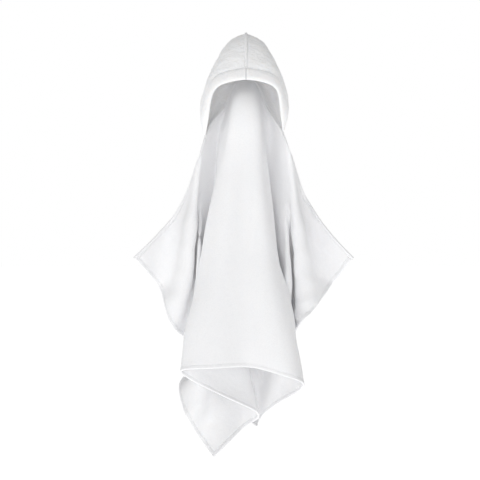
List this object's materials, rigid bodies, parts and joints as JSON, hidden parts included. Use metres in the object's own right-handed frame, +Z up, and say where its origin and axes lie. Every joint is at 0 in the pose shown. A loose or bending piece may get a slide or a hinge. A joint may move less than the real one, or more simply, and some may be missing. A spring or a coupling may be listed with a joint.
{
  "type": "hooded baby towel",
  "caption": "White terry baby towel with a two-panel hood sewn to the middle of one long edge, hanging in folds from its neck loop.",
  "frame": {"origin": "the point inside the hanging loop that bears on a hook", "axes": "+Z up, +X to the viewer's right when the hood's opening faces the viewer, -Y towards the viewer"},
  "size_m": [0.5047, 0.2445, 0.9761],
  "materials": {
    "terry": "looped cotton terry, soft and matt",
    "hood_terry": "thick cut-pile cotton terry",
    "hem_terry": "flat woven cotton hem",
    "cotton_tape": "herringbone cotton tape",
    "thread": "polyester sewing thread"
  },
  "bodies": {
    "root": {"towel_body": "terry", "bottom_hem": "hem_terry", "left_side_hem": "hem_terry", "right_side_hem": "hem_terry", "left_top_hem": "hem_terry", "right_top_hem": "hem_terry", "neck_binding": "cotton_tape", "hood_panel_left": "hood_terry", "hood_panel_right": "hood_terry", "brim_band_left": "hood_terry", "brim_band_right": "hood_terry", "crown_tape": "cotton_tape", "hanging_loop": "cotton_tape", "hem_thread": "thread", "brim_thread": "thread", "crown_thread": "thread", "neck_thread": "thread"}
  },
  "joints": []
}
